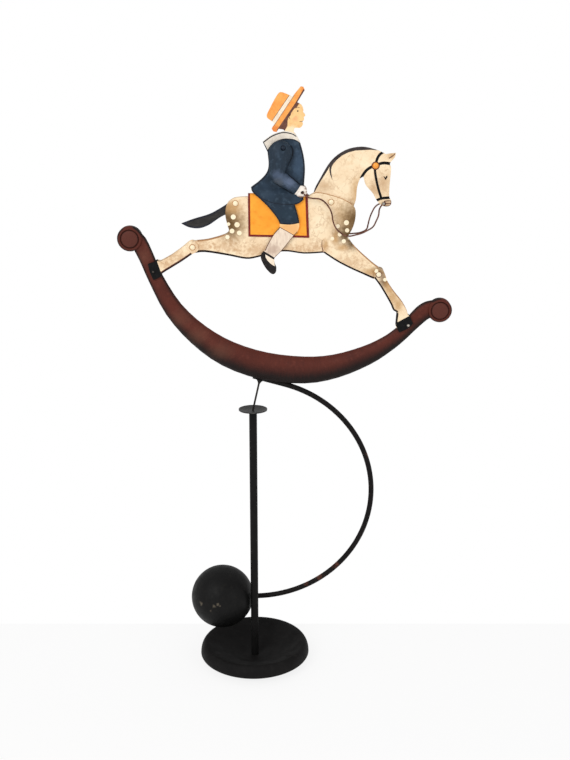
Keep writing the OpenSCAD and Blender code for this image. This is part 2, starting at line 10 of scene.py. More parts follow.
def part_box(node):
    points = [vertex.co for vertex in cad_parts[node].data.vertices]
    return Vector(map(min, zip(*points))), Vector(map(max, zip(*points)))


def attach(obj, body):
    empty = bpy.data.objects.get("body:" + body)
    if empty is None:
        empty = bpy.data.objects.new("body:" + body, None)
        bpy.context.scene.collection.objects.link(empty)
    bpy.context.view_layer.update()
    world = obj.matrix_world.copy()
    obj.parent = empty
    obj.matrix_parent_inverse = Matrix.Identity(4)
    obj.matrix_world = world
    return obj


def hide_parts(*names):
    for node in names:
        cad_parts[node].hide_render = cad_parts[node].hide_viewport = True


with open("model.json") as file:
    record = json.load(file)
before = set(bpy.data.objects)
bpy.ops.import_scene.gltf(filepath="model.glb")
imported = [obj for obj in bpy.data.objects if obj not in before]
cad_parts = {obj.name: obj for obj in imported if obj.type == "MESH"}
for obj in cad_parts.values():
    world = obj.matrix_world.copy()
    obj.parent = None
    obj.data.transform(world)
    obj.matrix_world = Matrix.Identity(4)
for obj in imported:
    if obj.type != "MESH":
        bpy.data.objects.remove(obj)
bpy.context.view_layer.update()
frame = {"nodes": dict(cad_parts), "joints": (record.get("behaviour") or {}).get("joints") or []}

# Camera
# The toy is seen from in front and a little above, upright in a tall picture.
# The lens is given as its focal length in pixels of that picture.
picture_h = 760
focal_px = 1000
viewpoint = (0.0269, -0.8074, 0.4649)
look_down = 14.47
lens = bpy.data.cameras.new("camera")
lens.sensor_fit = "VERTICAL"
lens.sensor_height = 36
lens.lens = lens.sensor_height * focal_px / picture_h
camera = bpy.data.objects.new("camera", lens)
camera.location = viewpoint
camera.rotation_euler = (math.radians(90 - look_down), 0, 0)
bpy.context.scene.collection.objects.link(camera)
bpy.context.scene.camera = camera
bpy.context.scene.view_settings.view_transform = "Standard"

# Reins
# Two thin brown cords hang slack from the rider's hands to the ends of the bit.
# Like the whole figure they are drawn in millimetres about the pin's point, on a plane
# that leans as the rod does: x along the horse, depth away from the viewer, z up.
pin_point = Vector(next(j["pos_m"] for j in frame["joints"] if j["name"] == "rock"))
ball_low, ball_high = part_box("counterweight_ball")
ball_middle = (ball_low + ball_high) / 2
lean = math.atan2(ball_middle.y, pin_point.z - ball_middle.z)
figure = Matrix.Translation(pin_point) @ Matrix.Rotation(lean, 4, "X") @ Matrix.Scale(0.001, 4)
rein_width = 0.0012
rein_routes = {
    "rein_front": [
        (40.5, -6, 182), (44.5, -6.6, 178.5), (49, -6.6, 177.5), (54, -6.4, 177),
        (58, -6.2, 174.5), (61.5, -6, 170), (63.5, -6, 165.5), (64.5, -6, 160),
        (66.5, -6, 155), (70, -6, 151), (76, -6, 148), (83, -6, 149), (88, -6, 150.5),
        (92, -5.6, 152.5), (96, -5, 155), (98.5, -4.5, 159.5), (100.3, -4, 164),
        (101, -3.6, 169), (103.5, -3.2, 173)],
    "rein_back": [
        (40.5, 6, 182), (44.5, 6.6, 178.5), (49, 6.6, 177.5), (54, 6.4, 177),
        (58, 6.2, 174.5), (61.5, 6, 170), (63.5, 6, 165.5), (64.5, 6, 160),
        (66.5, 6, 155), (70, 6, 151), (76, 6, 148), (82, 6, 148), (88, 6, 149),
        (92, 5.8, 151.5), (93, 5.4, 155), (93.8, 5, 159), (95.8, 4.4, 165),
        (98.7, 3.8, 170), (103.5, 3.2, 173)]}
fleck_mm = 3.5
grain_mm = 0.9
grain_depth = 0.00003


def srgb(red, green, blue):
    """A colour given as it looks, 0 to 255, as the shader takes it."""
    shares = [c / 255 for c in (red, green, blue)]
    return [c / 12.92 if c <= 0.04045 else ((c + 0.055) / 1.055) ** 2.4 for c in shares] + [1]


def wire(tree, kind, sockets, **settings):
    """Adds a shader node, with its settings and with a value or a link for each socket."""
    made = tree.nodes.new("ShaderNode" + kind)
    for name, value in settings.items():
        setattr(made, name, value)
    for name, value in sockets.items():
        if isinstance(value, bpy.types.NodeSocket):
            tree.links.new(value, made.inputs[name])
        else:
            made.inputs[name].default_value = value
    return made


def ramp(tree, value, low, high, start=0, end=1, kind="LINEAR"):
    """Goes from start to end while a value goes from low to high, and stays there beyond."""
    sockets = {"Value": value, "From Min": low, "From Max": high, "To Min": start, "To Max": end}
    return wire(tree, "MapRange", sockets, interpolation_type=kind).outputs[0]


def figure_mm(tree):
    """Where a point lies in the figure's own millimetres."""
    if "figure" not in tree.nodes:
        place = wire(tree, "TexCoord", {}).outputs["Object"]
        turn = {"Location": pin_point, "Rotation": (lean, 0, 0), "Scale": (0.001,) * 3}
        made = wire(tree, "Mapping", {"Vector": place, **turn}, vector_type="TEXTURE")
        made.name = "figure"
    return tree.nodes["figure"].outputs["Vector"]


def drift(tree, size, low, high, stretch=(1, 1, 1), detail=4):
    """A cloudy mask with patches of about a size in millimetres, 0 below low and 1 above high."""
    place = wire(tree, "Mapping", {"Vector": figure_mm(tree), "Scale": stretch}).outputs[0]
    cloud = wire(tree, "TexNoise", {"Vector": place, "Scale": 1 / size, "Detail": detail})
    return ramp(tree, cloud.outputs[0], low, high)


def tint(tree, mask, below, colour):
    """The colour below, covered by another where the mask is 1."""
    # A Mix node repeats its sockets' names, so those for colours go by their numbers
    return wire(tree, "Mix", {0: mask, 6: below, 7: colour}, data_type="RGBA").outputs[2]


def enamel(name, ground, shade, fleck, patch=14, streak=(1, 1, 1), rough=(0.45, 0.62), shine=0.2):
    """Brushed paint: a ground that drifts to a shade in patches, with fine flecks and strokes."""
    material = bpy.data.materials.new(name)
    material.use_nodes = True
    tree = material.node_tree
    shader = tree.nodes["Principled BSDF"]
    shader.inputs["Specular IOR Level"].default_value = shine
    colour = tint(tree, drift(tree, patch, 0.38, 0.72, streak), srgb(*ground), srgb(*shade))
    colour = tint(tree, drift(tree, fleck_mm, 0.52, 0.86, streak, 8), colour, srgb(*fleck))
    tree.links.new(colour, shader.inputs["Base Color"])
    spread = ramp(tree, drift(tree, patch / 3, 0.3, 0.7), 0, 1, *rough)
    tree.links.new(spread, shader.inputs["Roughness"])
    grain = drift(tree, grain_mm, 0.2, 0.8, streak, 3)
    bump = wire(tree, "Bump", {"Height": grain, "Strength": 0.5, "Distance": grain_depth})
    tree.links.new(bump.outputs[0], shader.inputs["Normal"])
    return material


rein_brown = enamel("rein_brown", (104, 66, 54), (78, 46, 38), (140, 100, 80), 6, rough=(0.6, 0.75))
for name, route in rein_routes.items():
    strand = bpy.data.curves.new(name + "_cord", "CURVE")
    strand.dimensions = "3D"
    strand.bevel_depth = rein_width / 2
    strand.bevel_resolution = 3
    strand.resolution_u = 6
    strand.use_fill_caps = True
    spline = strand.splines.new("BEZIER")
    spline.bezier_points.add(len(route) - 1)
    for knot, point in zip(spline.bezier_points, route):
        knot.co = figure @ Vector(point)
        knot.handle_left_type = "AUTO"
        knot.handle_right_type = "AUTO"
    strand.materials.append(rein_brown)
    cord = bpy.data.objects.new(name + "_cord", strand)
    bpy.context.scene.collection.objects.link(cord)
    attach(cord, "balance")
    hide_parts(name)

# Table and light
# A white table top, lit so hard that only a faint shadow is left on it, with white beyond
# its far edge and a soft light from the left. None of it is part of the toy.
table_half = 3
table_edge = 0.061
bleach = 0.85
sky = 0.62
lit_spot = Vector((0, 0, 0.28))
lamps = [("key", (-0.9, -1.3, 1.2), 14, 0.9), ("fill", (1.1, -1.2, 0.7), 5, 1.2)]


def reckon(tree, operation, *terms):
    """What an operation makes of one value or two."""
    return wire(tree, "Math", dict(enumerate(terms)), operation=operation).outputs[0]


table = bpy.data.meshes.new("table")
bm = bmesh.new()
bmesh.ops.create_grid(bm, x_segments=1, y_segments=1, size=table_half)
bm.to_mesh(table)
bm.free()
table_top = bpy.data.objects.new("table", table)
bpy.context.scene.collection.objects.link(table_top)
table_white = bpy.data.materials.new("table_white")
table_white.use_nodes = True
tree = table_white.node_tree
shader = tree.nodes["Principled BSDF"]
shader.inputs["Base Color"].default_value = srgb(246, 245, 245)
shader.inputs["Roughness"].default_value = 0.7
place = wire(tree, "SeparateXYZ", {"Vector": wire(tree, "TexCoord", {}).outputs["Object"]})
beyond = reckon(tree, "GREATER_THAN", place.outputs["Y"], table_edge)
seen = wire(tree, "LightPath", {}).outputs
direct = reckon(tree, "MAXIMUM", seen["Is Camera Ray"], seen["Is Glossy Ray"])
cover = reckon(tree, "MAXIMUM", beyond, bleach)
blank = reckon(tree, "MULTIPLY", cover, direct)
white = wire(tree, "Emission", {"Color": (1, 1, 1, 1), "Strength": 1})
both = wire(tree, "MixShader", {0: blank, 1: shader.outputs[0], 2: white.outputs[0]})
tree.links.new(both.outputs[0], tree.nodes["Material Output"].inputs["Surface"])
table.materials.append(table_white)
world = bpy.data.worlds.new("world")
world.use_nodes = True
bpy.context.scene.world = world
tree = world.node_tree
seen = wire(tree, "LightPath", {}).outputs
clear = reckon(tree, "MAXIMUM", seen["Is Camera Ray"], seen["Is Transmission Ray"])
tree.links.new(ramp(tree, clear, 0, 1, sky, 1), tree.nodes["Background"].inputs["Strength"])
tree.nodes["Background"].inputs["Color"].default_value = (1, 1, 1, 1)
for name, spot, power, size in lamps:
    lamp = bpy.data.lights.new(name, "AREA")
    lamp.energy = power
    lamp.size = size
    light = bpy.data.objects.new(name, lamp)
    light.location = spot
    aim = lit_spot - light.location
    light.rotation_euler = aim.to_track_quat("-Z", "Y").to_euler()
    bpy.context.scene.collection.objects.link(light)

# Base and post
# A shallow bowl of cast iron with a plain round post standing in it, sprayed satin black.
# A countersunk steel screw, left bare, comes up through the bowl's floor into the post.
weld = 0.002
flat_black = enamel(
    "flat_black", (23, 22, 22), (16, 15, 15), (30, 29, 28), 24, rough=(0.55, 0.7), shine=0.08)
black_spray = enamel(
    "black_spray", (19, 18, 18), (13, 13, 13), (27, 26, 25), 20, rough=(0.5, 0.66), shine=0.1)
bare_steel = enamel(
    "bare_steel", (165, 160, 152), (128, 122, 115), (190, 186, 180), 3, rough=(0.3, 0.5))
bare_steel.node_tree.nodes["Principled BSDF"].inputs["Metallic"].default_value = 1


def copied(node):
    """A node's own mesh in figure millimetres, with its loose triangles joined."""
    bm = bmesh.new()
    bm.from_mesh(frame["nodes"][node].data)
    bmesh.ops.transform(bm, matrix=figure.inverted(), verts=bm.verts)
    bmesh.ops.remove_doubles(bm, verts=bm.verts, dist=weld)
    return bm


def placed(bm, node, body, finishes, crease=32):
    """Makes a finished mesh the piece that stands for a node."""
    bm.normal_update()
    for face in bm.faces:
        face.smooth = True
    for edge in bm.edges:
        edge.smooth = edge.is_manifold and edge.calc_face_angle(0) < math.radians(crease)
    bmesh.ops.transform(bm, matrix=figure, verts=bm.verts)
    mesh = bpy.data.meshes.new(node)
    bm.to_mesh(mesh)
    bm.free()
    for finish in finishes:
        mesh.materials.append(finish)
    piece = bpy.data.objects.new(node + "_dressed", mesh)
    bpy.context.scene.collection.objects.link(piece)
    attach(piece, body)
    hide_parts(node)


for node, finish in (("base", flat_black), ("post", black_spray), ("post_screw", bare_steel)):
    placed(copied(node), node, "stand", [finish])

# Dish and pin
# A shallow black dish on a stem in the top of the post, and the round-ended pin that
# stands in its dimple. The braze at the pin's top runs out along the rod in a hollow curve.
# The dish is painted a lighter grey than the other blacks, with pale flecks: a painted reflection
# on its top.
dish_black = enamel("dish_black", (50, 49, 48), (32, 31, 31), (88, 85, 81), 4, rough=(0.35, 0.5))
placed(copied("pivot_dish"), "pivot_dish", "dish", [dish_black])
pin_steel = enamel("pin_steel", (34, 31, 29), (24, 23, 22), (72, 60, 52), 5, rough=(0.5, 0.65))
braze_foot = 23.4
braze_h = 3.5
braze_thin = 0.3
bm = copied("pivot_pin")
braze = [vert.co for vert in bm.verts if vert.co.z > braze_foot]
pin_way = sum(braze, Vector()).normalized()
for vert in bm.verts:
    rise = vert.co.dot(pin_way)
    off = vert.co - pin_way * rise
    off.y *= braze_thin
    vert.co += off * (max(rise - braze_foot, 0) / braze_h) ** 2
placed(bm, "pivot_pin", "balance", [pin_steel])

# Counterweight
# A black rod bent in one large curve, rubbed brown where it is handled, and a hollow
# iron ball on its end with a few chips in its paint.
rub_marks = [(57, -156.5, 5), (46, -163.5, 3), (72, -145, 4), (98, -40, 3)]
chips = [
    (-46.5, -173, 1.8), (-32, -170.5, 1.6), (-35, -172.5, 2), (-38, -177, 1.7), (-29.5, -172, 1.1)]
ragged_mm = 2.5
right_through = 1000


def overlay(material, mask, colour):
    """Lays a colour over a paint where the mask is 1."""
    tree = material.node_tree
    coat = tree.nodes["Principled BSDF"].inputs["Base Color"]
    tree.links.new(tint(tree, mask, coat.links[0].from_socket, srgb(*colour)), coat)


def airbrush(material, x, z, width, height, colour, strength=0.8, soft=0.75, ragged=0.2):
    """Sprays a spot on a paint, centred and sized in figure millimetres, softer or sharper."""
    tree = material.node_tree
    extent = {"Location": (x, 0, z), "Scale": (width, right_through, height)}
    spot = wire(
        tree, "Mapping", {"Vector": figure_mm(tree), **extent}, vector_type="TEXTURE")
    reach = wire(tree, "VectorMath", {0: spot.outputs[0]}, operation="LENGTH").outputs["Value"]
    cloud = ramp(tree, drift(tree, ragged_mm, 0.3, 0.7), 0, 1, -ragged, ragged)
    reach = reckon(tree, "ADD", reach, cloud)
    overlay(material, ramp(tree, reach, 1, 1 - soft, 0, strength, "SMOOTHSTEP"), colour)


rubbed = enamel(
    "rubbed_black", (21, 18, 18), (14, 13, 13), (32, 26, 24), 12, rough=(0.5, 0.68), shine=0.1)
for x, z, r in rub_marks:
    airbrush(rubbed, x, z, r, r, (92, 54, 42), 0.75, 0.9, 0.5)
placed(copied("counterweight_rod"), "counterweight_rod", "balance", [rubbed])
chipped = enamel(
    "chipped_black", (18, 18, 18), (12, 12, 12), (27, 26, 24), 16, rough=(0.45, 0.6), shine=0.12)
for x, z, r in chips:
    airbrush(chipped, x, z, r, r, (96, 88, 76), 0.75, 0.8, 0.5)
placed(copied("counterweight_ball"), "counterweight_ball", "balance", [chipped])

# Rocker
# Two pressed half shells, fullest in the middle, run out flat into round scrolls.
# Both are painted brick red with a dry brush drawn across, and shaded black underneath.
rocker_line = [
    (-94, 149, 8.5), (-89.5, 142.5, 13), (-83.5, 129, 12.5), (-77, 112.5, 12.5), (-63.5, 87, 15.5),
    (-44, 65.6, 19), (-20, 49.1, 22.5), (10, 38.6, 24), (43, 35.1, 23.5), (69, 38.6, 20.5),
    (94, 47.8, 17), (110.7, 57.6, 14), (121, 65.9, 12.8), (129, 73.9, 12.5), (138.5, 83.8, 14),
    (145, 87.6, 14), (150.9, 90.6, 9.6)]
scrolls = [(-96.2, 145), (152.5, 86.5)]
# Rings painted on each scroll, widest first; the thin dark ring left between the last two is
# painted shade in the groove round the boss.
scroll_rings = [(9.6, (84, 40, 31)), (7.4, (42, 23, 19)), (6.8, (90, 47, 38))]
faded_spots = [(-85, 131, 8, 10), (-58, 80, 13, 12), (-44, 66, 14, 12), (-26, 53, 16, 11)]
shade_sets_in = (30, 110)
shade_runs_out = (325, 225)
shade_slants = (60, 260)
shade_band = (0.55, -0.6)
rim_band = (0.62, 0.92)
brush_grain = (1.6, 0.8, 1)


def flowing(points, steps=5):
    """A smooth line through points, with so many steps from each to the next."""
    line = [Vector(p) for p in points]
    line = [2 * line[0] - line[1]] + line + [2 * line[-1] - line[-2]]
    path = []
    for a, b, c, d in zip(line, line[1:], line[2:], line[3:]):
        for step in range(steps):
            t = step / steps
            bend = (2 * a - 5 * b + 4 * c - d) * t ** 2 + (3 * b - a - 3 * c + d) * t ** 3
            path.append((2 * b + (c - a) * t + bend) / 2)
    return path + [line[-2]]


def measured(bm, spine):
    """Notes at each point how far along the rocker it lies, and how far across from -1 to 1."""
    along = bm.verts.layers.float.new("along")
    across = bm.verts.layers.float.new("across")
    run = [0]
    for a, b in zip(spine, spine[1:]):
        run.append(run[-1] + (b.xy - a.xy).length)
    for vert in bm.verts:
        spot = vert.co.xz
        near = min(range(1, len(spine) - 1), key=lambda i: (spine[i].xy - spot).length_squared)
        ahead = (spine[near + 1].xy - spine[near - 1].xy).normalized()
        off = spot - spine[near].xy
        vert[along] = run[near] + off.dot(ahead)
        vert[across] = off.dot(Vector((-ahead.y, ahead.x))) * 2 / spine[near].z


rocker_red = enamel(
    "rocker_red", (89, 40, 30), (77, 34, 26), (103, 51, 40), 14, rough=(0.5, 0.66), shine=0.15)
tree = rocker_red.node_tree
along = wire(tree, "Attribute", {}, attribute_name="along").outputs["Fac"]
across = wire(tree, "Attribute", {}, attribute_name="across").outputs["Fac"]
place = wire(tree, "CombineXYZ", {"X": along, "Y": across}).outputs[0]
place = wire(tree, "Mapping", {"Vector": place, "Scale": brush_grain}).outputs[0]
brush_line = wire(tree, "TexNoise", {"Vector": place, "Scale": 1, "Detail": 4}).outputs[0]
overlay(rocker_red, ramp(tree, brush_line, 0.46, 0.78, 0, 0.45), (60, 30, 26))
rise = ramp(tree, along, *shade_sets_in, kind="SMOOTHSTEP")
fall = ramp(tree, along, *shade_runs_out, kind="SMOOTHSTEP")
middle = reckon(tree, "MULTIPLY", rise, fall)
height = reckon(tree, "ADD", across, ramp(tree, brush_line, 0.3, 0.7, -0.15, 0.15))
height = reckon(tree, "ADD", height, ramp(tree, middle, 0, 1, 0.7, 0))
height = reckon(tree, "ADD", height, ramp(tree, along, *shade_slants, 0.18, -0.16))
overlay(rocker_red, ramp(tree, height, *shade_band, 0, 0.97, "SMOOTHSTEP"), (22, 17, 16))
rim_line = ramp(tree, reckon(tree, "ABSOLUTE", across), *rim_band, kind="SMOOTHSTEP")
rim_line = reckon(tree, "MULTIPLY", rim_line, ramp(tree, middle, 0, 1, 1, 0))
overlay(rocker_red, rim_line, (26, 17, 15))
for x, z in scrolls:
    for r, coat in scroll_rings:
        airbrush(rocker_red, x, z, r, r, coat, 0.9, 0.1, 0.03)
for spot in faded_spots:
    airbrush(rocker_red, *spot, (122, 84, 66), 0.22, 1, 0.1)
for node in ("rocker_front_half", "rocker_back_half"):
    bm = copied(node)
    measured(bm, flowing(rocker_line, 8))
    placed(bm, node, "balance", [rocker_red], 40)

# Horse
# Cut sheet: two body plates with the neck and tail riveted between them and the shins
# outside them. All is painted cream, then airbrushed, dappled and lined by hand.
sheet_t = 1.5
fold_angle = 0.3
facing = 0.7
cut_slack = 0.0001
dab_corners = 14


def rims(bm):
    """The closed lines round a flat sheet and its holes, in x and z, the outer one first."""
    spare = dict.fromkeys(e for e in bm.edges if e.is_boundary)
    found = []
    while spare:
        edge, _ = spare.popitem()
        loop = list(edge.verts)
        while loop[-1] is not loop[0]:
            edge = next(e for e in loop[-1].link_edges if e in spare)
            del spare[edge]
            loop.append(edge.other_vert(loop[-1]))
        found.append([v.co.xz for v in loop[1:]])
    return sorted(found, key=lambda loop: min(p.x for p in loop))


def face_of(node):
    """The seen face of a cut sheet, with nothing behind it."""
    bm = copied(node)
    bm.normal_update()
    side = 1 if "back" in node else -1
    unseen = [f for f in bm.faces if f.normal.y * side < facing]
    bmesh.ops.delete(bm, geom=unseen, context="FACES")
    return bm


def along_rim(node, start, end):
    """The points of a sheet's outer edge from one place to another, by the shorter way."""
    bm = face_of(node)
    rim = rims(bm)[0]
    bm.free()
    first, last = (
        min(range(len(rim)), key=lambda i: (rim[i] - Vector(p)).length) for p in (start, end))
    onward = [rim[(first + k) % len(rim)] for k in range((last - first) % len(rim) + 1)]
    back = [rim[(first - k) % len(rim)] for k in range((first - last) % len(rim) + 1)]
    return min(onward, back, key=lambda way: sum((b - a).length for a, b in zip(way, way[1:])))


def stroke(path, start, end=None):
    """The outline of a brush stroke along a path, from one width to another."""
    path = [Vector(p) for p in path]
    end = start if end is None else end
    left = []
    right = []
    for i, point in enumerate(path):
        ahead = (path[min(i + 1, len(path) - 1)] - path[max(i - 1, 0)]).normalized()
        share = i / (len(path) - 1)
        side = Vector((-ahead.y, ahead.x)) * ((1 - share) * start + share * end) / 2
        left.append(point + side)
        right.append(point - side)
    return left + right[::-1]


def dot(x, z, r):
    """A round dab of paint."""
    turns = [math.tau * k / dab_corners for k in range(dab_corners)]
    return [(x + r * math.cos(t), z + r * math.sin(t)) for t in turns]


def painted_sheet(node, ground, coats):
    """A cut sheet divided along its painted areas.

    Each coat is an outline in x and z and the finish inside it. The ground lies on the whole
    sheet, and a later coat lies on the earlier ones.
    """
    finishes = list(dict.fromkeys([ground] + [finish for _, finish in coats]))
    bm = face_of(node)
    depths = sorted((v.co.z, v.co.y) for v in bm.verts)
    edge_lines = rims(bm)
    points = []
    seams = []
    areas = []
    for edge in bm.edges:
        if edge.is_manifold and edge.calc_face_angle(0) > fold_angle:
            seams.append((len(points), len(points) + 1))
            points += [v.co.xz for v in edge.verts]
    for outline in edge_lines + [outline for outline, _ in coats]:
        outline = [Vector(p) for p in outline]
        turns = sum(a.x * b.y - b.x * a.y for a, b in zip(outline, outline[1:] + outline[:1]))
        areas.append(list(range(len(points), len(points) + len(outline))))
        points += outline if turns > 0 else outline[::-1]
    bm.free()
    divided = delaunay_2d_cdt(points, seams, areas, 0, cut_slack, True)
    spots, _, triangles, _, _, inside = divided
    bm = bmesh.new()
    for spot in spots:
        low, high = next(
            ((a, b) for a, b in zip(depths, depths[1:]) if b[0] >= spot.y),
            (depths[-2], depths[-1]))
        share = (spot.y - low[0]) / max(high[0] - low[0], 0.001)
        depth = low[1] + (high[1] - low[1]) * min(max(share, 0), 1)
        bm.verts.new((spot.x, depth, spot.y))
    bm.verts.ensure_lookup_table()
    holes = len(edge_lines)
    for triangle, within in zip(triangles, inside):
        if 0 in within and not any(0 < area < holes for area in within):
            face = bm.faces.new([bm.verts[i] for i in triangle])
            top = max(within) - holes
            face.material_index = finishes.index(coats[top][1]) if top >= 0 else 0
    loose = [v for v in bm.verts if not v.link_faces]
    bmesh.ops.delete(bm, geom=loose, context="VERTS")
    inward = -sheet_t if "back" in node else sheet_t
    made = bmesh.ops.extrude_face_region(bm, geom=bm.faces[:])["geom"]
    bmesh.ops.translate(
        bm, vec=(0, inward, 0), verts=[v for v in made if isinstance(v, bmesh.types.BMVert)])
    bmesh.ops.recalc_face_normals(bm, faces=bm.faces)
    placed(bm, node, "balance", finishes)


horse_cream = enamel("horse_cream", (248, 227, 193), (237, 209, 172), (225, 193, 153), 16)
line_black = enamel("line_black", (28, 17, 16), (20, 13, 13), (54, 34, 30), 5, shine=0.1)
line_brown = enamel("line_brown", (96, 52, 40), (74, 38, 32), (120, 76, 58), 4)
line_tan = enamel("line_tan", (184, 138, 92), (164, 116, 76), (204, 162, 118), 4)
dapple_cream = enamel("dapple_cream", (252, 238, 208), (246, 228, 192), (238, 214, 172), 5)
tack_black = enamel("tack_black", (17, 17, 18), (12, 12, 13), (34, 33, 34), 6, shine=0.1)
mane_grey = enamel("mane_grey", (60, 52, 51), (40, 33, 32), (84, 74, 74), 5)
tail_charcoal = enamel(
    "tail_charcoal", (52, 50, 49), (38, 36, 36), (72, 69, 69), 8, streak=(1, 1, 3), shine=0.12)
tail_edge = enamel("tail_edge", (30, 32, 44), (24, 24, 30), (52, 58, 80), 6)
craze_mm = 10
craze_bend = 16
tree = horse_cream.node_tree
place = figure_mm(tree)
wander = wire(tree, "TexNoise", {"Vector": place, "Scale": 0.15, "Detail": 5}).outputs["Color"]
bent = wire(
    tree, "VectorMath", {0: wander, 1: (craze_bend,) * 3, 2: place}, operation="MULTIPLY_ADD")
crack = wire(
    tree, "TexVoronoi", {"Vector": bent.outputs[0], "Scale": 1 / craze_mm},
    feature="DISTANCE_TO_EDGE")
crazed = ramp(tree, crack.outputs["Distance"], 0.06, 0, 0, 0.5)
crazed = reckon(tree, "MULTIPLY", crazed, drift(tree, 12, 0.35, 0.65))
overlay(horse_cream, crazed, (176, 134, 94))
# Colour, strength, softness and raggedness, then each spot's place, half width and half height
horse_shading = [
    ((182, 136, 76), 0.7, 1, 0.1, [(-16, 159, 20, 22), (79, 160, 24, 24)]),
    ((88, 62, 26), 0.93, 1, 0.1, [
        (-16, 156, 17, 19), (-22, 165, 11, 13), (83, 160, 20, 21), (76, 148, 16, 12),
        (81, 141, 10, 8)]),
    ((104, 72, 40), 0.9, 0.9, 0.1, [(102, 118.5, 10, 7), (107, 111, 7, 9)]),
    ((190, 146, 92), 0.75, 0.9, 0.1, [
        (67, 145, 4, 9), (72, 138, 8, 4), (59, 140, 4, 7), (95, 118, 14, 6), (113, 98, 6, 12),
        (-15, 170, 11, 8), (84, 182, 9, 18), (109.5, 209.5, 5, 4), (110, 106, 6, 9),
        (118, 92, 5, 9)]),
    ((190, 146, 102), 0.5, 1, 0.5, [
        (-40, 139, 16, 7), (-20, 139, 20, 9), (4, 136, 20, 8), (-60, 130, 15, 7), (30, 135, 24, 8),
        (52, 138, 14, 8), (75, 126, 22, 7), (-66, 125, 12, 8)]),
    ((186, 146, 104), 0.6, 1, 0.2, [
        (96, 184, 7, 9), (107, 172, 6, 5), (104, 188, 12, 15), (58, 186, 10, 8)]),
    ((150, 116, 96), 0.3, 0.8, 0.1, [(108, 172.4, 6, 4.5)])]
for colour, strength, soft, ragged, spots in horse_shading:
    for spot in spots:
        airbrush(horse_cream, *spot, colour, strength, soft, ragged)
dapples = [
    (-13.8, 162.4, 2), (-17.7, 156.8, 1.4), (-10.9, 156.3, 2.1), (-15, 151.3, 1.9),
    (-9.2, 149.8, 1.9), (-18.7, 146.5, 1.7), (75.3, 157.9, 2), (68.5, 155.1, 1.6),
    (76, 151.8, 1.7), (70.2, 148.5, 1.6), (78.2, 146, 1.7), (73.5, 143.2, 1.7),
    (64.4, 145.2, 1.5)]
rivet_shadow_r = 2.6
elbow_line = [(56.4, 144.2), (56.2, 139.5), (57.5, 133.6)]
for node in ("horse_body_front", "horse_body_back"):
    coats = [
        (stroke(along_rim(node, (-47.5, 133.7), (-4, 129)), 3.6, 2.8), line_black),
        (stroke(along_rim(node, (-4, 129), (57.5, 134)), 2.8, 2.4), line_black),
        (stroke(along_rim(node, (57.5, 134), (98, 112.8)), 2.6, 3), line_black),
        # A tan ring under each rivet head is a painted shadow round it.
        (dot(63, 174, rivet_shadow_r), line_tan), (dot(-12, 173, rivet_shadow_r), line_tan),
        (stroke(flowing(elbow_line), 0.3, 0.8), line_brown),
        # A thin tan line along the body's edge over the neck is a painted shadow of that edge.
        (stroke(along_rim(node, (48, 181.5), (80, 172)), 0.7), line_tan),
        (stroke(along_rim(node, (-43, 145), (-20, 147)), 1.4), line_tan),
        (stroke(along_rim(node, (82, 140), (101, 122)), 1, 1.4), line_tan)]
    coats += [(dot(*dapple), dapple_cream) for dapple in dapples]
    painted_sheet(node, horse_cream, coats)
mane = [
    (47, 181), (51, 193), (59, 208), (72, 218), (86, 221), (98, 218), (98.4, 213.6), (92.6, 214),
    (81, 213.4), (75.6, 211.9), (71, 209.6), (67.2, 206.5), (64.5, 203.5), (63.2, 201.2),
    (62.7, 198.5), (63, 195.5), (63.9, 191), (62, 195), (61.3, 198.5), (61.5, 201.2), (60.4, 199),
    (58, 195.2), (54.2, 189.2), (50.2, 181.8)]
rosette_spot = (97.2, 201.9)
straps = [
    ([rosette_spot, (98, 206.3), (99.8, 210), (102.8, 212.4)], 2.1),
    ([rosette_spot, (100.4, 203.4), (104.2, 204), (110, 203.2)], 2.3),
    ([rosette_spot, (94.2, 201.1), (90.6, 198.8), (88, 195.6), (86, 192.2)], 2.2),
    ([rosette_spot, (96.7, 199.1), (97.7, 192.8), (99.9, 184), (102.4, 176.8)], 1.9),
    ([(98.2, 175), (103, 176.8), (110.6, 177.4)], 2.1)]
horse_eye = [
    (103.4, 194), (104.4, 193.6), (105.1, 192.8), (105.6, 194), (106.5, 194.4), (106.7, 193),
    (105.2, 190.9)]
mouth_and_ear = [
    [(104.6, 174.4), (107, 174.8), (110.6, 174.8)], [(104.7, 172.4), (107, 172.8), (110.6, 172.8)],
    [(104.3, 170.8), (107, 170.6), (110, 171.2)], [(107.4, 207.6), (110.1, 209.3), (112, 211.2)]]
muzzle_line = along_rim("horse_neck", (112.7, 176), (105.7, 169.5))
coats = [(mane, mane_grey)]
coats += [(stroke(flowing(line), 0.8, 0.6), line_brown) for line in mouth_and_ear]
coats += [(stroke(flowing(strap), width), tack_black) for strap, width in straps]
coats += [
    (dot(*rosette_spot, 3.3), line_brown), (horse_eye, tack_black),
    (dot(104.8, 172.6, 1.5), line_brown), (stroke(muzzle_line, 1, 0.8), line_brown)]
painted_sheet("horse_neck", horse_cream, coats)
tail_top = along_rim("horse_tail", (-17, 173.5), (-55, 157))
tail_under = along_rim("horse_tail", (-55, 157), (-24, 162))
coats = [(stroke(tail_top, 2, 2.4), tail_edge), (stroke(tail_under, 3.2, 2), tail_edge)]
painted_sheet("horse_tail", tail_charcoal, coats)
hind_hoof = [(-83.5, 125.6), (-75.4, 128.4), (-71, 114.6), (-79, 110.5)]
for node in ("hind_shin_front", "hind_shin_back"):
    shin_line = along_rim(node, (-47, 133), (-72, 116))
    coats = [
        (stroke(shin_line, 3.4, 3.6), line_brown), (stroke(shin_line, 2), line_black),
        # A tan ring under the hock rivet head is a painted shadow round it.
        (dot(-46.5, 138.5, rivet_shadow_r), line_tan), (hind_hoof, tack_black)]
    painted_sheet(node, horse_cream, coats)
fore_hoof = [(116.5, 76.2), (128.6, 83), (132.5, 76), (120, 66.5)]
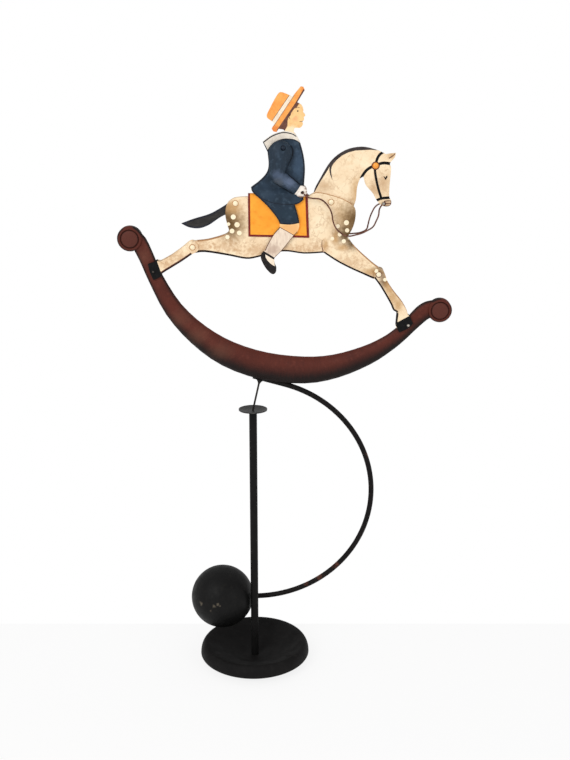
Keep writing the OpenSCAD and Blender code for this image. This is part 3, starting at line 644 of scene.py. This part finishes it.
for node in ("fore_shin_front", "fore_shin_back"):
    coats = [
        (stroke(along_rim(node, (98.2, 114), (117.6, 85)), 2.6, 3), line_black),
        (stroke(along_rim(node, (117.6, 85), (116.5, 75)), 2, 1.4), line_black),
        (stroke(along_rim(node, (107, 117), (125, 86)), 1, 0.6), line_tan),
        # A brown ring under the knee rivet head is a painted shadow round it.
        (dot(102, 116.5, rivet_shadow_r), line_brown), (dot(99.8, 119.6, 1.6), dapple_cream),
        (dot(107, 112.4, 1.5), dapple_cream), (fore_hoof, tack_black)]
    painted_sheet(node, horse_cream, coats)

# Rivets
# Round-headed rivets hold the sheets together. They are painted over with the horse,
# and those through the hooves with the hooves, with a painted highlight on their heads.
for node in ("neck_rivet", "tail_rivet", "hock_rivet", "knee_rivet"):
    placed(copied(node), node, "balance", [dapple_cream])
black_glint = enamel("black_glint", (17, 17, 18), (12, 12, 13), (34, 33, 34), 6, shine=0.1)
# The bright spots on the hoof rivets' heads are painted highlights.
airbrush(black_glint, 127, 74.5, 1.5, 1.5, (206, 198, 186), 0.9)
airbrush(black_glint, -78.5, 119, 1, 1, (110, 102, 94), 0.6)
placed(copied("hoof_rivets"), "hoof_rivets", "balance", [black_glint])

# Saddle cloth
# Thin sheet metal folded over the horse's back, where the rider's legs hold it.
# It is painted orange, with a dark red border on its three free edges.
cloth_orange = enamel("cloth_orange", (252, 168, 56), (246, 154, 44), (232, 138, 40), 10)
border_red = enamel("border_red", (124, 34, 30), (102, 26, 26), (146, 58, 46), 6)
border_lines = [
    ((-0.4, 0, 0), (-1, 0, 0)), ((42.7, 0, 178), (1, 0, 0.045)), ((0, 0, 148.6), (-0.02, 0, -1))]


def second_coat(bm, spot, outward):
    """Cuts a mesh along a plane and gives what lies beyond it the second of its finishes."""
    everything = bm.verts[:] + bm.edges[:] + bm.faces[:]
    bmesh.ops.bisect_plane(bm, geom=everything, dist=cut_slack, plane_co=spot, plane_no=outward)
    for face in bm.faces:
        if (face.calc_center_median() - Vector(spot)).dot(Vector(outward)) > 0:
            face.material_index = 1


bm = copied("saddle_cloth")
for spot, outward in border_lines:
    second_coat(bm, spot, outward)
placed(bm, "saddle_cloth", "balance", [cloth_orange, border_red])

# Rider
# Two sheets cut to one outline, joined above the saddle and stepped apart to straddle it.
# They are painted as a child in a navy sailor suit, with a straw hat, socks and pumps.
navy = enamel("navy", (37, 53, 69), (26, 40, 53), (70, 88, 104), 8)
airbrush(navy, 37, 203, 6, 15, (60, 80, 102), 0.7)
airbrush(navy, 28, 165, 9, 6, (32, 50, 64), 0.7)
airbrush(navy, 12, 181, 7, 4, (50, 66, 82), 0.6)
dark_navy = enamel("dark_navy", (20, 28, 40), (16, 22, 32), (40, 52, 66), 5)
collar_white = enamel("collar_white", (232, 222, 207), (210, 200, 188), (184, 175, 166), 5)
straw = enamel("straw", (246, 172, 92), (240, 154, 74), (228, 138, 64), 7)
airbrush(straw, 19.5, 229, 5, 6, (224, 124, 58), 0.8)
airbrush(straw, 41, 259, 3, 5, (222, 128, 62), 0.7)
band_cream = enamel("band_cream", (246, 232, 212), (236, 216, 190), (222, 198, 170), 6)
hair_brown = enamel("hair_brown", (108, 70, 58), (86, 54, 47), (132, 94, 78), 3)
skin = enamel("skin", (246, 204, 142), (240, 190, 128), (228, 172, 116), 7)
airbrush(skin, 35, 237, 3.4, 3, (238, 168, 122), 0.5)
airbrush(skin, 32, 229, 7, 4, (252, 232, 198), 0.7)
airbrush(skin, 31, 153, 12, 8, (236, 178, 116), 0.9)
sock_white = enamel(
    "sock_white", (238, 220, 198), (224, 202, 182), (196, 172, 154), 4, streak=(3, 1, 0.6))
airbrush(sock_white, 16.5, 137, 9, 7, (176, 148, 130), 0.6)
shoe_black = enamel("shoe_black", (36, 33, 33), (26, 24, 24), (56, 51, 50), 5, shine=0.12)
jacket_edges = [
    ((13.4, 212.5), (0.4, 185.4), 1.8, 2.6), ((38.3, 220.5), (41.2, 176), 2.4, 2.8),
    ((0.4, 185.4), (22.8, 154.5), 2.4, 2), ((41.2, 176), (38.2, 156), 2.2, 2)]
# The jacket's hem line, then painted shadows along the arm's edge and under the forearm.
hem_and_arm_shadows = [
    ([(6, 178.4), (18.8, 173.4), (34.5, 172.4)], 0.5, 0.9),
    ([(31.6, 217), (32.6, 211), (27.2, 197.5), (30.6, 193.8), (38.4, 187.8)], 1.4, 1.2),
    ([(16.6, 191.4), (22, 187.2), (33.2, 180.6)], 1.2, 1.2)]
skin_area = [(22, 227), (26, 225), (46, 225), (46, 246), (40, 251), (36.2, 249.4), (22, 229.8)]
hair_area = [
    (20, 227), (36.2, 249.4), (37.9, 248.7), (36.2, 246.2), (33.4, 244.4), (31.8, 242.2),
    (31.2, 239.8), (29.6, 238.2), (28.9, 235.8), (28.8, 232), (27.4, 229.6), (26.2, 227)]
hat_area = [
    (22, 229.8), (36.2, 249.4), (43, 259.4), (41, 264), (20, 262), (8, 240), (15, 224),
    (20.6, 226.8)]
band_area = [(31.2, 256), (15.9, 234.1), (18.2, 231.8), (33.9, 254.6)]
brim_shadow = [(21, 228.4), (29, 239.4), (36.2, 249.4), (41.8, 258.4)]
collar_top = [(9.4, 221), (16.9, 225.6), (25.3, 228.4), (32.4, 227.2), (36.2, 224.6), (39, 220.8)]
collar_low = [(39, 218.6), (36, 220.6), (32.4, 221.8), (25.3, 221.9), (18.1, 218.9), (13.2, 213)]
collar_braid = [(9.8, 219.4), (16.6, 224.1), (22.5, 226.4), (27, 227), (32.8, 225.8), (35.6, 224)]
knee_area = [(21, 158.2), (30.6, 157.2), (40, 158.8), (40, 149), (33.9, 147), (22, 153)]
trouser_hem = [(21, 158), (30.6, 157.2), (40, 158.8)]
sock_area = [(21.8, 155.1), (34.6, 148), (34, 145), (19, 128), (8, 135), (12, 140)]
shoe_area = [(5, 136.5), (10, 135.8), (18.2, 130.6), (22, 130), (22, 115), (14, 115), (5, 126)]
instep = [
    (11.2, 133), (14.2, 131.2), (17.4, 129.2), (20, 128.4), (20, 123.2), (18.3, 123.6),
    (15.6, 125.4), (13.2, 127.8), (11.6, 130.4)]
brow = [(34.8, 245), (36.4, 245.8), (38, 245.4)]
lips = [(38, 235.2), (39.4, 235.2), (40.8, 235.6)]
ear = [(31, 240), (29.9, 238.9), (30.6, 237.2)]
for node in ("rider_front", "rider_back"):
    coats = [(stroke(along_rim(node, a, b), *width), dark_navy) for a, b, *width in jacket_edges]
    coats += [(stroke(flowing(seam), *width), dark_navy) for seam, *width in hem_and_arm_shadows]
    coats += [
        (skin_area, skin), (hair_area, hair_brown), (hat_area, straw), (band_area, band_cream),
        (stroke(band_area[:2], 0.35), hair_brown), (stroke(band_area[2:], 0.35), hair_brown),
        (stroke(flowing(brim_shadow), 1.1, 2.4), hair_brown),
        (flowing(collar_top) + flowing(collar_low), collar_white),
        (stroke(flowing(collar_braid), 0.9, 0.7), dark_navy),
        (stroke([(9.8, 220), (13.4, 212.8)], 1.2), dark_navy),
        (stroke(flowing(collar_low), 0.8, 1), dark_navy),
        (knee_area, skin), (sock_area, sock_white),
        (stroke(flowing(trouser_hem), 1), dark_navy),
        (stroke([(22, 155), (34.2, 148.2)], 0.45), line_brown),
        (stroke(along_rim(node, (36.6, 151), (18.5, 130.2)), 0.8), line_brown),
        (stroke(along_rim(node, (11, 136), (22.8, 154.5)), 0.9), line_brown),
        (shoe_area, shoe_black), (instep, band_cream), (dot(36.6, 243, 0.6), shoe_black),
        (stroke(flowing(brow), 0.3, 0.4), hair_brown),
        (stroke(flowing(lips), 0.3, 0.5), line_brown), (stroke(flowing(ear), 0.4), line_brown)]
    painted_sheet(node, navy, coats)

# Arms
# Half-round arms of cast metal with a fist that is bored for the rein. One rivet through
# the shoulders holds both, with a spacer behind each, all navy with painted forearm highlights.
sleeve = enamel("sleeve", (35, 49, 63), (27, 40, 52), (60, 76, 92), 8)
# The lighter forearm spots are a painted highlight along the half-round sleeve.
for spot in ((32, 188.5, 8, 6), (26, 192.5, 8, 6), (21, 196, 6, 5)):
    airbrush(sleeve, *spot, (76, 90, 112), 0.75, 0.8)
airbrush(sleeve, 30, 190.5, 7, 4, (98, 112, 136), 0.6)
airbrush(sleeve, 22, 190, 6, 5, (74, 82, 92), 0.7)
fist = enamel("fist", (244, 236, 226), (232, 218, 204), (206, 186, 170), 4)
# Painted shade: a dark spot round the bore for the rein.
airbrush(fist, 40.5, 182, 2, 2, (96, 66, 56), 0.9)
finger_marks = [
    (39, 178.4, 5, 1.5), (43.4, 184.8, 2.4, 0.8), (43.8, 182.4, 2.2, 0.7), (43, 180, 2.2, 0.7)]
for mark in finger_marks:
    airbrush(fist, *mark, (128, 90, 72), 0.85)
wrist = (36.8, 0, 184.3)
fist_way = (0.81, 0, -0.585)
for node in ("arm_front", "arm_back"):
    bm = copied(node)
    second_coat(bm, wrist, fist_way)
    placed(bm, node, "balance", [sleeve, fist], 40)
for node in ("shoulder_spacers", "shoulder_rivet"):
    placed(copied(node), node, "balance", [dark_navy])

# Bridle
# Glossy orange rosettes, one stud through the head, on the painted straps, and a plain
# steel bit through the muzzle.
rosette_orange = enamel(
    "rosette_orange", (250, 166, 60), (238, 144, 44), (222, 124, 38), 3, rough=(0.18, 0.3),
    shine=0.5)
placed(copied("bridle_rosette"), "bridle_rosette", "balance", [rosette_orange])
placed(copied("bit"), "bit", "balance", [bare_steel])
